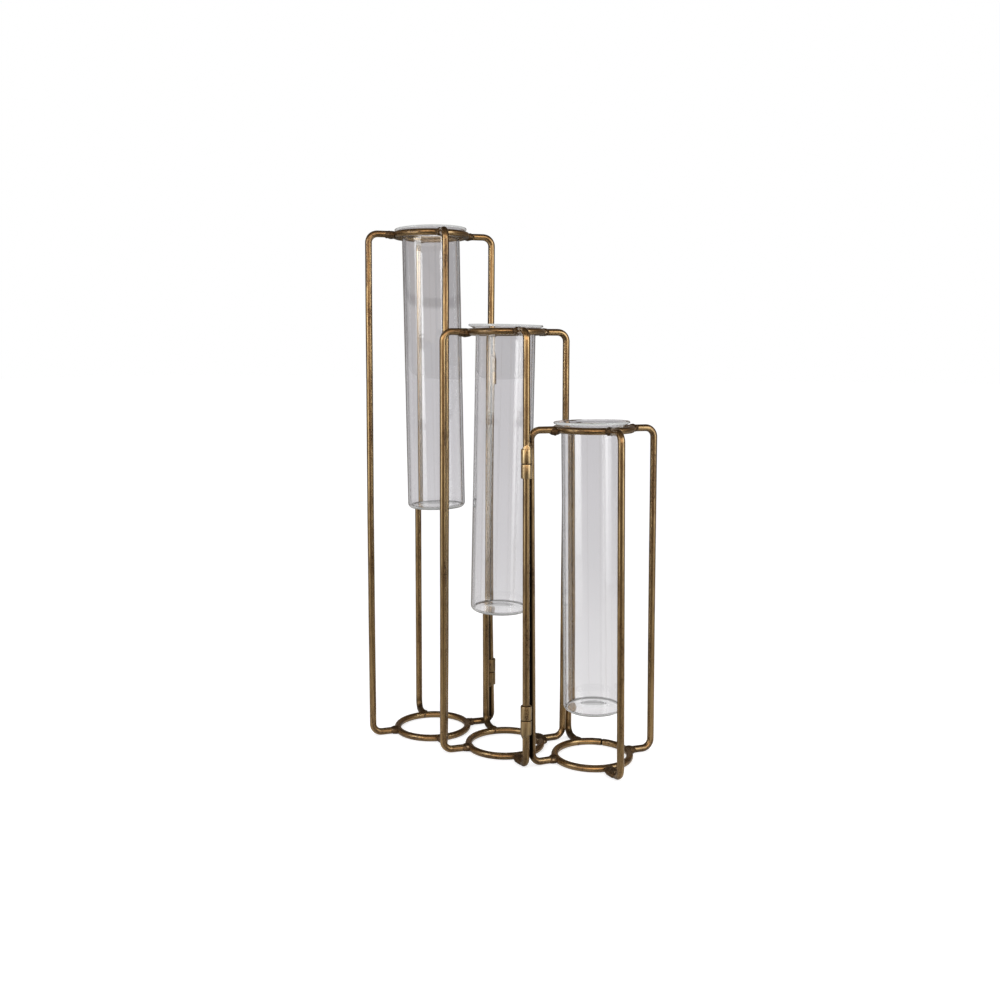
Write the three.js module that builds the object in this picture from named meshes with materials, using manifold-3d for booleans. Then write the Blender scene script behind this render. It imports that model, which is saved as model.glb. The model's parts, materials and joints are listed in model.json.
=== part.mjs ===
// Folding row of three bud vases: three open brass wire frames of stepped height, each with a flared glass
// tube hanging in its top ring, joined side by side by two pairs of sleeve hinges so that the row folds flat.
// Millimetres, +Z up, the row along X with the tallest frame at -X, the front at -Y, standing on Z = 0.
import * as THREE from "three";
import { mergeVertices, toCreasedNormals } from "three/addons/utils/BufferGeometryUtils.js";
import Module from "manifold-3d";

// Glass tubes
const TUBE_DIAMETER = 39;
const TUBE_LENGTH = 188.5;
const TUBE_WALL = 1.4;
const TUBE_BASE = 1.8; // thickness of the closed end
const TUBE_CORNER = 3.4; // outer corner radius of the closed end
const FLARE_ANGLE = 68; // degrees of the rim's cone from the tube's axis
const FLARE_RADIUS = 5; // bend from the wall into the cone, outside
const LIP_REACH = 2.5; // how far the lip passes the inside of the ring that carries it
const SEAT_CLEARANCE = 0.3; // between the cone and the ring

// How each tube hangs in its ring: foot towards +X in degrees, and the rim's place off the ring's centre
const TALL_TUBE_LEAN = 1.2;
const MIDDLE_TUBE_LEAN = -1.3;
const SHORT_TUBE_LEAN = 0.7;
const TALL_TUBE_SHIFT = 0;
const MIDDLE_TUBE_SHIFT = 0.5;
const SHORT_TUBE_SHIFT = -1.4;

// The tubes are cut by hand: how much longer each one is than the length above
const TALL_TUBE_EXTRA = 1.6;
const MIDDLE_TUBE_EXTRA = 0.4;
const SHORT_TUBE_EXTRA = -2;

// Wire frames
const WIRE_DIAMETER = 4.5;
const RING_PLAY = 2.5; // from the tube's wall to the inside of the ring
const ROD_SPACING = 60; // side of the square of uprights, centre to centre
const BEND_RADIUS = 6; // to the middle of the wire
const SHORT_OVER_TUBE = 28; // how much taller the shortest frame is than a tube is long
const MIDDLE_STEP = 62; // from the short frame's top to the middle one's
const TALL_STEP = 66; // from the middle frame's top to the tall one's

// Braze where an upright's arm meets a ring
const BRAZE_CLEARANCE = 0.3; // between the coped arm and the ring
const FILLET_REACH = 5; // along the arm, from the ring
const FILLET_WIDTH = 7.2; // along the ring
const FILLET_THICKNESS = 2.6;
const FILLET_EDGE = 0.8; // blunt edge of the fillet, measured from the ring

// Hinges
const SLEEVE_WALL = 0.95;
const SLEEVE_CLEARANCE = 0.3; // between the pin and the bore
const SLEEVE_LENGTH = 9;
const SLEEVE_CHAMFER = 0.4;
const SLEEVE_END_GAP = 0.3; // between a collar and the knuckle that runs against it
const WELD_LENGTH = 4.5; // of the cone of weld between a collar and its pin
const WELD_EDGE = 0.25; // thickness left at the tip of that cone
const WEB_WIDTH = 3; // of the braze between a knuckle and the neighbour's upright
const WEB_LENGTH = 7; // of the same, along the knuckle
const STOP_CLEARANCE = 0.25; // between an upright and the arm it stops against when the row is straight
const BACK_HINGE_DROP = 17; // from the lower frame's top wire down to the upper collar
const BACK_HINGE_RISE = 28; // from the ground up to the lower collar
const FRONT_HINGE_DROP = 11.3;
const FRONT_HINGE_RISE = 22.5;

// Facets
const WIRE_SIDES = 12;
const RING_SEGMENTS = 32;
const TUBE_SEGMENTS = 24;
const SLEEVE_SEGMENTS = 12;
const BEND_STEPS = 4;
const ARC_STEPS = 2;
const FILLET_STEPS = 3;
const CREASE = Math.PI / 5;

// Sizes that follow from the ones above
const WIRE_RADIUS = WIRE_DIAMETER / 2;
const RING_RADIUS = TUBE_DIAMETER / 2 + RING_PLAY + WIRE_RADIUS; // to the middle of the wire
const ROD_RADIUS = ROD_SPACING / Math.SQRT2; // from a frame's axis to an upright
const SLEEVE_BORE = WIRE_RADIUS + SLEEVE_CLEARANCE;
const SLEEVE_RADIUS = SLEEVE_BORE + SLEEVE_WALL;
const HINGE_OFFSET = Math.SQRT2 * (WIRE_DIAMETER + STOP_CLEARANCE); // from a pin to the upright beside it
const SHORT_HEIGHT = TUBE_LENGTH + SHORT_OVER_TUBE;
const MIDDLE_HEIGHT = SHORT_HEIGHT + MIDDLE_STEP;
const TALL_HEIGHT = MIDDLE_HEIGHT + TALL_STEP;

// The frames stand side by side, the middle one set forward by the hinge offset
const FRAMES = {
  tall: {
    height: TALL_HEIGHT,
    place: [-ROD_SPACING, HINGE_OFFSET / 2],
    lean: TALL_TUBE_LEAN,
    shift: TALL_TUBE_SHIFT,
    extra: TALL_TUBE_EXTRA,
  },
  middle: {
    height: MIDDLE_HEIGHT,
    place: [0, -HINGE_OFFSET / 2],
    lean: MIDDLE_TUBE_LEAN,
    shift: MIDDLE_TUBE_SHIFT,
    extra: MIDDLE_TUBE_EXTRA,
  },
  short: {
    height: SHORT_HEIGHT,
    place: [ROD_SPACING, HINGE_OFFSET / 2],
    lean: SHORT_TUBE_LEAN,
    shift: SHORT_TUBE_SHIFT,
    extra: SHORT_TUBE_EXTRA,
  },
};

// Corners of a frame: the side of its axis that each upright stands on, along X and along Y
const CORNERS = { front_left: [-1, -1], front_right: [1, -1], back_right: [1, 1], back_left: [-1, 1] };

// A pin is an upright of one frame; the knuckles on it are brazed to the next frame's upright beside it
const HINGES = {
  back: {
    pin: ["tall", "back_right"],
    towardsNeighbour: -1,
    upperTop: MIDDLE_HEIGHT - WIRE_RADIUS - BACK_HINGE_DROP,
    lowerFoot: BACK_HINGE_RISE,
  },
  front: {
    pin: ["middle", "front_right"],
    towardsNeighbour: 1,
    upperTop: SHORT_HEIGHT - WIRE_RADIUS - FRONT_HINGE_DROP,
    lowerFoot: FRONT_HINGE_RISE,
  },
};

const wasm = await Module();
wasm.setup();

// Finishes
function antiqueBrass() {
  return new THREE.MeshStandardMaterial({ color: 0x8f6f42, metalness: 1, roughness: 0.42 });
}

function yellowBrass() {
  return new THREE.MeshStandardMaterial({ color: 0xa8844a, metalness: 1, roughness: 0.38 });
}

function clearGlass() {
  const finish = new THREE.MeshStandardMaterial({ color: 0xdfe3e4, metalness: 0, roughness: 0.05 });
  finish.transparent = true;
  finish.opacity = 0.3;
  return finish;
}

// Joining and cutting
function toSolid(geometry) {
  const bare = geometry.clone();
  bare.deleteAttribute("normal");
  bare.deleteAttribute("uv");
  const merged = mergeVertices(bare);
  const vertProperties = Float32Array.from(merged.attributes.position.array);
  const triVerts = Uint32Array.from(merged.index.array);
  return new wasm.Manifold(new wasm.Mesh({ numProp: 3, vertProperties, triVerts }));
}

function toGeometry(solid) {
  const mesh = solid.getMesh();
  const geometry = new THREE.BufferGeometry();
  geometry.setAttribute("position", new THREE.BufferAttribute(mesh.vertProperties, 3));
  geometry.setIndex(new THREE.BufferAttribute(mesh.triVerts, 1));
  return toCreasedNormals(geometry, CREASE);
}

// A profile of radius and height turned about Z
function turned(profile, segments) {
  return new THREE.LatheGeometry(profile, segments).rotateX(Math.PI / 2);
}

// Corners of a regular polygon drawn round a circle, with flats below, above and at both sides
function wireSection(radius) {
  const reach = radius / Math.cos(Math.PI / WIRE_SIDES);
  const corners = [];
  for (let i = 0; i < WIRE_SIDES; i += 1) {
    const angle = ((i + 0.5) / WIRE_SIDES) * 2 * Math.PI;
    corners.push(new THREE.Vector2(reach * Math.cos(angle), reach * Math.sin(angle)));
  }
  return corners;
}

// A ring of wire round the Z axis, its middle at height 0
function ringGeometry(wireRadius) {
  const profile = wireSection(wireRadius).map((corner) => corner.add(new THREE.Vector2(RING_RADIUS, 0)));
  profile.push(profile[0].clone());
  return turned(profile, RING_SEGMENTS);
}

// A bent wire's middle line, sampled at its ends and round its bends only
class WireRoute extends THREE.Curve {
  constructor(stations) {
    super();
    this.stations = stations;
  }

  getUtoTmapping(u) {
    return u;
  }

  getPoint(t, target = new THREE.Vector3()) {
    const last = this.stations.length - 1;
    const before = Math.min(Math.floor(t * last), last - 1);
    return target.lerpVectors(this.stations[before].point, this.stations[before + 1].point, t * last - before);
  }

  getTangent(t, target = new THREE.Vector3()) {
    const nearest = Math.round(t * (this.stations.length - 1));
    return target.copy(this.stations[nearest].tangent);
  }
}

// Stations of an upright in its own plane: out along the foot, up the rod and back in along the arm
function uprightStations(height) {
  const bendX = ROD_RADIUS - BEND_RADIUS;
  const foot = WIRE_RADIUS;
  const top = height - WIRE_RADIUS;
  const stations = [{ point: new THREE.Vector3(RING_RADIUS, 0, foot), tangent: new THREE.Vector3(1, 0, 0) }];
  const addBend = (centreZ, startAngle) => {
    for (let i = 0; i <= BEND_STEPS; i += 1) {
      const angle = startAngle + (i / BEND_STEPS) * (Math.PI / 2);
      const x = bendX + BEND_RADIUS * Math.cos(angle);
      const z = centreZ + BEND_RADIUS * Math.sin(angle);
      const tangent = new THREE.Vector3(-Math.sin(angle), 0, Math.cos(angle));
      stations.push({ point: new THREE.Vector3(x, 0, z), tangent });
    }
  };
  addBend(foot + BEND_RADIUS, -Math.PI / 2);
  addBend(top - BEND_RADIUS, 0);
  stations.push({ point: new THREE.Vector3(RING_RADIUS, 0, top), tangent: new THREE.Vector3(-1, 0, 0) });
  return stations;
}

// Braze fillet between an arm and its ring: a flat web that widens from the arm to the ring
function filletGeometry() {
  const ringSide = RING_RADIUS + WIRE_RADIUS;
  const armLength = ROD_RADIUS - BEND_RADIUS - ringSide;
  const tip = ringSide + Math.min(FILLET_REACH, armLength);
  const edge = ringSide + FILLET_EDGE;
  const half = FILLET_WIDTH / 2;
  const tipHalf = WIRE_RADIUS / 2;
  const outline = new THREE.Shape();
  outline.moveTo(RING_RADIUS, -half);
  outline.lineTo(edge, -half);
  outline.quadraticCurveTo(edge, -tipHalf, tip, -tipHalf);
  outline.lineTo(tip, tipHalf);
  outline.quadraticCurveTo(edge, tipHalf, edge, half);
  outline.lineTo(RING_RADIUS, half);
  const options = { depth: FILLET_THICKNESS, bevelEnabled: false, curveSegments: FILLET_STEPS };
  return new THREE.ExtrudeGeometry(outline, options).translate(0, 0, -FILLET_THICKNESS / 2);
}

// One upright: a wire bent to a long C, with its two arms brazed and coped to the rings
function uprightGeometry(height) {
  const stations = uprightStations(height);
  const section = new THREE.Shape(wireSection(WIRE_RADIUS));
  const options = { steps: stations.length - 1, extrudePath: new WireRoute(stations) };
  let solid = toSolid(new THREE.ExtrudeGeometry(section, options));
  const levels = [WIRE_RADIUS, height - WIRE_RADIUS];
  for (const level of levels) {
    solid = solid.add(toSolid(filletGeometry().translate(0, 0, level)));
  }
  for (const level of levels) {
    const ring = ringGeometry(WIRE_RADIUS + BRAZE_CLEARANCE).translate(0, 0, level);
    solid = solid.subtract(toSolid(ring));
  }
  return toGeometry(solid);
}

// Where a tube's rim cone, bend and lip lie, measured from the middle of the ring that carries it
function rimSizes() {
  const angle = THREE.MathUtils.degToRad(FLARE_ANGLE);
  const seat = WIRE_RADIUS + SEAT_CLEARANCE;
  const bendX = TUBE_DIAMETER / 2 + FLARE_RADIUS;
  const bendZ = (seat - FLARE_RADIUS + (bendX - RING_RADIUS) * Math.cos(angle)) / Math.sin(angle);
  const lipRadius = TUBE_WALL / 2;
  const lipX = RING_RADIUS - WIRE_RADIUS + LIP_REACH - lipRadius;
  const lipZ = (seat + lipRadius + (lipX - RING_RADIUS) * Math.cos(angle)) / Math.sin(angle);
  return { angle, bendX, bendZ, lipRadius, lipX, lipZ, top: lipZ + lipRadius };
}

// A glass tube: closed flat foot, straight wall, flared rim with a rounded lip
function tubeGeometry(length) {
  const rim = rimSizes();
  const radius = TUBE_DIAMETER / 2;
  const bore = radius - TUBE_WALL;
  const foot = rim.top - length;
  const innerCorner = TUBE_CORNER - TUBE_WALL;
  const innerFoot = foot + TUBE_BASE;
  const profile = new THREE.Path();
  profile.moveTo(0, foot);
  profile.lineTo(radius - TUBE_CORNER, foot);
  profile.absarc(radius - TUBE_CORNER, foot + TUBE_CORNER, TUBE_CORNER, -Math.PI / 2, 0, false);
  profile.absarc(rim.bendX, rim.bendZ, FLARE_RADIUS, Math.PI, Math.PI - rim.angle, true);
  profile.absarc(rim.lipX, rim.lipZ, rim.lipRadius, -rim.angle, Math.PI - rim.angle, false);
  profile.absarc(rim.bendX, rim.bendZ, FLARE_RADIUS + TUBE_WALL, Math.PI - rim.angle, Math.PI, false);
  profile.absarc(bore - innerCorner, innerFoot + innerCorner, innerCorner, 0, -Math.PI / 2, true);
  profile.lineTo(0, innerFoot);
  return turned(profile.getPoints(ARC_STEPS), TUBE_SEGMENTS);
}

// A tube that leans or sits off centre rides up its cone until the low side has its clearance again
function tubeLift(lean, shift) {
  const slope = Math.tan(THREE.MathUtils.degToRad(FLARE_ANGLE));
  return Math.abs(shift) / slope + RING_RADIUS * Math.sin(THREE.MathUtils.degToRad(Math.abs(lean)));
}

// A hinge sleeve round the Z axis from height 0; weldLength adds a cone of weld on its top end
function sleeveGeometry(weldLength) {
  const inside = SLEEVE_RADIUS - SLEEVE_CHAMFER;
  const profile = [new THREE.Vector2(SLEEVE_BORE, 0)];
  profile.push(new THREE.Vector2(inside, 0));
  profile.push(new THREE.Vector2(SLEEVE_RADIUS, SLEEVE_CHAMFER));
  profile.push(new THREE.Vector2(SLEEVE_RADIUS, SLEEVE_LENGTH - SLEEVE_CHAMFER));
  profile.push(new THREE.Vector2(inside, SLEEVE_LENGTH));
  if (weldLength > 0) {
    profile.push(new THREE.Vector2(SLEEVE_BORE + WELD_EDGE, SLEEVE_LENGTH + weldLength));
  }
  profile.push(new THREE.Vector2(SLEEVE_BORE, SLEEVE_LENGTH + weldLength));
  profile.push(profile[0].clone());
  return turned(profile, SLEEVE_SEGMENTS);
}

// A knuckle: a plain sleeve with the braze web that holds it to the neighbour's upright
function knuckleGeometry(towardsNeighbour) {
  const rootY = SLEEVE_BORE + SLEEVE_WALL / 2;
  const web = new THREE.BoxGeometry(WEB_WIDTH, HINGE_OFFSET - rootY, WEB_LENGTH);
  web.translate(0, (towardsNeighbour * (HINGE_OFFSET + rootY)) / 2, SLEEVE_LENGTH / 2);
  const reach = WIRE_RADIUS / Math.cos(Math.PI / WIRE_SIDES) + BRAZE_CLEARANCE;
  const rod = new THREE.CylinderGeometry(reach, reach, 2 * SLEEVE_LENGTH, WIRE_SIDES).rotateX(Math.PI / 2);
  rod.translate(0, towardsNeighbour * HINGE_OFFSET, SLEEVE_LENGTH / 2);
  const sleeve = toSolid(sleeveGeometry(0));
  return toGeometry(sleeve.add(toSolid(web).subtract(toSolid(rod))));
}

const vase = new THREE.Group();

function addPart(parent, name, geometry, material) {
  const mesh = new THREE.Mesh(geometry, material);
  mesh.name = name;
  parent.add(mesh);
  return mesh;
}

function addFrame(name) {
  const { height, place, lean, shift, extra } = FRAMES[name];
  const frame = new THREE.Group();
  frame.position.set(place[0], place[1], 0);
  vase.add(frame);
  const ringLevels = { bottom: WIRE_RADIUS, top: height - WIRE_RADIUS };
  for (const [end, level] of Object.entries(ringLevels)) {
    addPart(frame, `${name}_${end}_ring`, ringGeometry(WIRE_RADIUS), antiqueBrass()).position.z = level;
  }
  for (const [corner, [sideX, sideY]] of Object.entries(CORNERS)) {
    const upright = addPart(frame, `${name}_upright_${corner}`, uprightGeometry(height), antiqueBrass());
    upright.rotation.z = Math.atan2(sideY, sideX);
  }
  const glass = tubeGeometry(TUBE_LENGTH + extra);
  const tube = addPart(frame, `${name}_glass_tube`, glass, clearGlass());
  tube.position.set(shift, 0, ringLevels.top + tubeLift(lean, shift));
  tube.rotation.y = -THREE.MathUtils.degToRad(lean);
}

function addHinge(name) {
  const { pin, towardsNeighbour, upperTop, lowerFoot } = HINGES[name];
  const { place } = FRAMES[pin[0]];
  const [sideX, sideY] = CORNERS[pin[1]];
  const half = ROD_SPACING / 2;
  const hinge = new THREE.Group();
  hinge.position.set(place[0] + sideX * half, place[1] + sideY * half, 0);
  vase.add(hinge);
  const pitch = SLEEVE_LENGTH + SLEEVE_END_GAP;
  const collar = sleeveGeometry(WELD_LENGTH);
  const upperCollar = addPart(hinge, `${name}_hinge_upper_collar`, collar, yellowBrass());
  upperCollar.position.z = upperTop - SLEEVE_LENGTH;
  const upperKnuckle = addPart(
    hinge,
    `${name}_hinge_upper_knuckle`,
    knuckleGeometry(towardsNeighbour),
    yellowBrass(),
  );
  upperKnuckle.position.z = upperCollar.position.z - pitch;
  // The lower collar is the same piece turned over, so that its weld points down
  const lowerCollar = addPart(hinge, `${name}_hinge_lower_collar`, collar.clone(), yellowBrass());
  lowerCollar.position.z = lowerFoot + SLEEVE_LENGTH;
  lowerCollar.rotation.x = Math.PI;
  const lowerKnuckle = addPart(
    hinge,
    `${name}_hinge_lower_knuckle`,
    knuckleGeometry(towardsNeighbour),
    yellowBrass(),
  );
  lowerKnuckle.position.z = lowerFoot + pitch;
}

Object.keys(FRAMES).forEach(addFrame);
Object.keys(HINGES).forEach(addHinge);

export default vase;
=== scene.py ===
"""Looks of a folding row of three bud vases.

Three open brass wire frames of stepped height stand side by side on sleeve hinges, and each carries a
flared glass tube in its top ring. Lengths are in metres, in the frame of the solids that this script
dresses.
"""

import json
import math

import bmesh
import bpy
from bpy.props import FloatProperty, FloatVectorProperty, PointerProperty
from mathutils import Matrix, Vector, noise

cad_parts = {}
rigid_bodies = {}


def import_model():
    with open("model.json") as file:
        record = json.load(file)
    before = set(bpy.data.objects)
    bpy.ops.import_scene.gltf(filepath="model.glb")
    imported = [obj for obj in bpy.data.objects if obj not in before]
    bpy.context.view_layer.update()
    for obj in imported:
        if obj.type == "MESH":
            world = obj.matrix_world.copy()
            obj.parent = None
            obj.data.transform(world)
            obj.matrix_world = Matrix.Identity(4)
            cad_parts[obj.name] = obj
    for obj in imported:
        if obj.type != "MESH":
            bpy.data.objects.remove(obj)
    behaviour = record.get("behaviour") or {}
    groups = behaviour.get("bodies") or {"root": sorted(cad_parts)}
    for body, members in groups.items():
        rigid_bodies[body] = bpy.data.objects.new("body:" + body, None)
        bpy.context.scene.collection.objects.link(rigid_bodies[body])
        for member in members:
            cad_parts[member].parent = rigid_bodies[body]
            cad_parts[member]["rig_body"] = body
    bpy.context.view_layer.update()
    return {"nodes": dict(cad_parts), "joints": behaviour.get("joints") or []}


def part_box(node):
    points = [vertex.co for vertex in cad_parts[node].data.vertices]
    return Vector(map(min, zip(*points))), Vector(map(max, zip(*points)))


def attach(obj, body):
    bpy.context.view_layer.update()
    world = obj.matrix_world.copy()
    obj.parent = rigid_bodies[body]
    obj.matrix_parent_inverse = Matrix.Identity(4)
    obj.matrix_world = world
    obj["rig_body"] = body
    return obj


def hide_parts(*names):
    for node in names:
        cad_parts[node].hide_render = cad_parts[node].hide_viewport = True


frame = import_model()

bl_info = {
    "name": "Folding Wire Bud Vase",
    "version": (1, 0, 0),
    "blender": (4, 5, 0),
    "location": "3D View > Sidebar > Bud Vase",
    "description": "Brass wire frames, sleeve hinges and flared glass tubes of a folding bud vase",
    "category": "Add Mesh",
}

FRAMES = ("tall", "middle", "short")
ENDS = ("top", "bottom")
HINGES = ("back", "front")
CORNERS = {"front_left": (-1, -1), "front_right": (1, -1), "back_right": (1, 1), "back_left": (-1, 1)}

# Attributes that the finishes read: where a point lay in the wire before it was bent, how near it is to a
# weld, how dark it is with painted shade and with dirt, how dark it is with a painted line round a corner
# of a tube's foot, and whether it is on the underside of that foot, where a painted glow shows
DRAWN = "drawn"
HEAT = "heat"
SHADE_AND_DIRT = "shade_and_dirt"
PAINTED_LINE = "painted_line"
UNDERSIDE = "underside"


# Measures of the frame
def box_size(node):
    low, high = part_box(node)
    return high - low


def box_middle(node):
    low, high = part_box(node)
    return (low + high) / 2


def body_of(node):
    return frame["nodes"][node]["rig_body"]


def joint_axis(joint):
    return next(Vector(j["axis"]) for j in frame["joints"] if j["name"] == joint).normalized()


WIRE_DIAMETER = box_size("tall_top_ring").z
RING_RADIUS = (box_size("tall_top_ring").x - WIRE_DIAMETER) / 2
ROD_OFFSET = (box_middle("middle_top_ring").x - box_middle("tall_top_ring").x) / 2
ROD_RADIUS = ROD_OFFSET * math.sqrt(2)
SLEEVE_RADIUS = box_size("back_hinge_upper_collar").x / 2


# Sizes and colours that a user would change
def length(name, default, description):
    return FloatProperty(
        name=name, description=description, default=default, min=0, precision=5, unit="LENGTH"
    )


def colour(name, default, description):
    return FloatVectorProperty(
        name=name, description=description, default=default, min=0, max=1, size=3, subtype="COLOR"
    )


class VASE_PG_sizes(bpy.types.PropertyGroup):
    """Sizes of the wires, welds, hinges and glass."""

    wire_diameter: length("Wire Diameter", WIRE_DIAMETER, "Thickness of the brass wire")
    bend_radius: length("Bend Radius", 0.006, "Bend of an upright, to the middle of the wire")
    wire_bow: length("Wire Bow", 0.0003, "How far a hand-bent upright bows off the straight")
    seam_gap: length("Seam Gap", 0.0001, "Gap where the ends of a ring's wire meet")
    open_seam_gap: length("Open Seam Gap", 0.0009, "Gap of the one seam that the braze didn't fill")
    bead_reach: length("Bead Reach", 0.0046, "Half of a braze bead's length along the arm")
    bead_width: length("Bead Width", 0.0037, "Half of a braze bead's width along the ring")
    bead_height: length("Bead Height", 0.0026, "Half of a braze bead's height")
    sleeve_clearance: length("Sleeve Clearance", 0.0003, "Between a hinge sleeve's bore and its pin")
    sleeve_edge: length("Sleeve Edge", 0.0004, "Rounding of a hinge sleeve's ends")
    weld_length: length("Weld Length", 0.0045, "Of the weld that holds a stop collar on its pin")
    tube_diameter: length("Tube Diameter", 0.039, "Outside of the glass tube")
    tube_wall: length("Tube Wall", 0.0014, "Thickness of the glass")
    tube_base: length("Tube Base", 0.0018, "Thickness of the tube's closed end")
    tube_corner: length("Tube Corner", 0.0034, "Outer corner radius of the closed end")
    flare_radius: length("Flare Radius", 0.005, "Bend from the wall into the flared rim, outside")
    flare_angle: FloatProperty(
        name="Flare Angle",
        description="Of the rim's cone from the tube's axis",
        default=math.radians(68),
        subtype="ANGLE",
    )


class VASE_PG_colours(bpy.types.PropertyGroup):
    """Colours of the metal and the glass."""

    wire_bright: colour("Rubbed Wire", (0.315, 0.217, 0.100), "Where handling has rubbed the brass bright")
    wire_brown: colour("Brown Patina", (0.155, 0.096, 0.043), "The wire's antique patina")
    wire_dark: colour("Dark Patina", (0.040, 0.023, 0.012), "Specks and hollows of the patina")
    # Near black: painted shade between close uprights, in the open seam and on the sleeves, and dirt on
    # feet
    shade_and_dirt_colour: colour("Dark Shade and Dirt", (0.005, 0.004, 0.003), "Painted shade between uprights, in the open seam and on sleeves, and dirt on feet")
    sleeve_bright: colour("Rubbed Sleeve", (0.47, 0.350, 0.185), "Bright brass of the hinge sleeves")
    sleeve_brown: colour("Sleeve Patina", (0.25, 0.172, 0.080), "Patina of the hinge sleeves")
    bead_dark: colour("Braze Scale", (0.060, 0.045, 0.034), "Dark scale on the braze beads")
    bead_bright: colour("Bare Braze", (0.46, 0.37, 0.25), "Bare filler metal that shows through the scale")
    glass_depth: colour("Glass Depth", (0.84, 0.90, 0.87), "What a thick edge of the glass lets through")
    # Painted shade: a dark outline where glass is seen edge on, and a dark line round the corners of a
    # tube's foot
    painted_glass_outline: colour("Painted Glass Outline", (0.15, 0.155, 0.15), "Painted dark outline where glass is seen edge on")
    # Painted light: a glow at the edges of the glass and on the underside of its foot
    painted_glass_glow: colour("Painted Glass Glow", (0.30, 0.30, 0.30), "Painted glow at the edges of the glass and under its foot")


def sizes():
    return bpy.context.scene.vase_sizes


def colours():
    return bpy.context.scene.vase_colours


# Places of the welds, for the beads and for the heat stain round them
def frame_axis(name, end):
    """Middle of a frame's top or bottom ring."""
    return box_middle(f"{name}_{end}_ring")


def outwards(corner):
    """Direction from a frame's axis to an upright."""
    return Vector((*CORNERS[corner], 0)).normalized()


def facing_out(corner):
    """Turn about Z that points X from a frame's axis to an upright."""
    return Matrix.Rotation(math.atan2(*outwards(corner).yx), 4, "Z")


def bead_middle(name, end, corner):
    return frame_axis(name, end) + outwards(corner) * (RING_RADIUS + WIRE_DIAMETER / 2)


BEADS = [(name, end, corner) for name in FRAMES for end in ENDS for corner in CORNERS]
COLLARS = [f"{hinge}_hinge_{level}_collar" for hinge in HINGES for level in ("upper", "lower")]
KNUCKLES = [f"{hinge}_hinge_{level}_knuckle" for hinge in HINGES for level in ("upper", "lower")]
WELD_MIDDLES = [bead_middle(*bead) for bead in BEADS] + [box_middle(collar) for collar in COLLARS]
HEAT_REACH = 0.009


def heat_at(point):
    """How much the brass is stained by the nearest weld, from 0 to 1."""
    nearest = min((point - middle).length for middle in WELD_MIDDLES)
    return math.exp(-((nearest / HEAT_REACH) ** 2))


# Making pieces
SMOOTH_ANGLE = math.radians(40)
MERGE_DISTANCE = 1e-7
# Length of the stretch of drawn wire that each seed has to itself
WIRE_STRETCH = 0.5


def clamp(value):
    return min(max(value, 0), 1)


def new_bmesh():
    """An empty bmesh with the attributes that the finishes read."""
    bm = bmesh.new()
    bm.verts.layers.float_vector.new(DRAWN)
    bm.verts.layers.float.new(HEAT)
    bm.verts.layers.float.new(SHADE_AND_DIRT)
    return bm


def add_piece(name, bm, material, node, replaces=True):
    """Turns a bmesh into a piece that rides on the body of a CAD node, and may stand for that node."""
    heat = bm.verts.layers.float[HEAT]
    for vert in bm.verts:
        vert[heat] = heat_at(vert.co)
    bmesh.ops.recalc_face_normals(bm, faces=bm.faces)
    mesh = bpy.data.meshes.new(name)
    bm.to_mesh(mesh)
    bm.free()
    mesh.shade_smooth()
    mesh.set_sharp_from_angle(angle=SMOOTH_ANGLE)
    mesh.materials.append(material)
    piece = bpy.data.objects.new(name, mesh)
    bpy.context.scene.collection.objects.link(piece)
    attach(piece, body_of(node))
    if replaces:
        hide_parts(node)


def keep_drawn(bm, seed=0):
    """Notes where each point lies before it is put in place, with a stretch of wire to each seed."""
    drawn = bm.verts.layers.float_vector[DRAWN]
    for vert in bm.verts:
        vert[drawn] = vert.co + Vector((0, 0, seed * WIRE_STRETCH))


WIRE_SIDES = 24
WIRE_END_EDGE = 0.0005
WIRE_END_SEGMENTS = 2


class Wire:
    """A round wire, drawn out step by step and bent on its way."""

    def __init__(self, start, radius):
        self.bm = new_bmesh()
        circle = bmesh.ops.create_circle(self.bm, cap_ends=False, radius=radius, segments=WIRE_SIDES)
        keep_drawn(self.bm)
        self.drawn = self.bm.verts.layers.float_vector[DRAWN]
        self.along = 0
        bmesh.ops.transform(self.bm, matrix=start, verts=circle["verts"])
        self.end = self.bm.edges[:]

    def step(self, move, step_length):
        made = bmesh.ops.extrude_edge_only(self.bm, edges=self.end)["geom"]
        verts = {item for item in made if isinstance(item, bmesh.types.BMVert)}
        edges = [item for item in made if isinstance(item, bmesh.types.BMEdge)]
        self.end = [edge for edge in edges if verts.issuperset(edge.verts)]
        bmesh.ops.transform(self.bm, matrix=move, verts=list(verts))
        self.along += step_length
        for vert in verts:
            vert[self.drawn] = (*vert[self.drawn].xy, self.along)

    def straight(self, reach, steps):
        for _ in range(steps):
            self.step(Matrix.Translation(reach / steps), reach.length / steps)

    def bend(self, centre, radius, angle, axis, steps):
        there = Matrix.Translation(centre)
        turn = there @ Matrix.Rotation(angle / steps, 4, axis) @ there.inverted()
        for _ in range(steps):
            self.step(turn, radius * abs(angle) / steps)

    def cap(self):
        """Closes both ends, rounds their edges and gives the finished bmesh."""
        open_edges = [edge for edge in self.bm.edges if edge.is_boundary]
        faces = bmesh.ops.holes_fill(self.bm, edges=open_edges)["faces"]
        ends = list({edge for face in faces for edge in face.edges})
        bmesh.ops.bevel(
            self.bm,
            geom=ends,
            offset=WIRE_END_EDGE,
            segments=WIRE_END_SEGMENTS,
            profile=0.5,
            affect="EDGES",
            material=-1,
        )
        return self.bm


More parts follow.
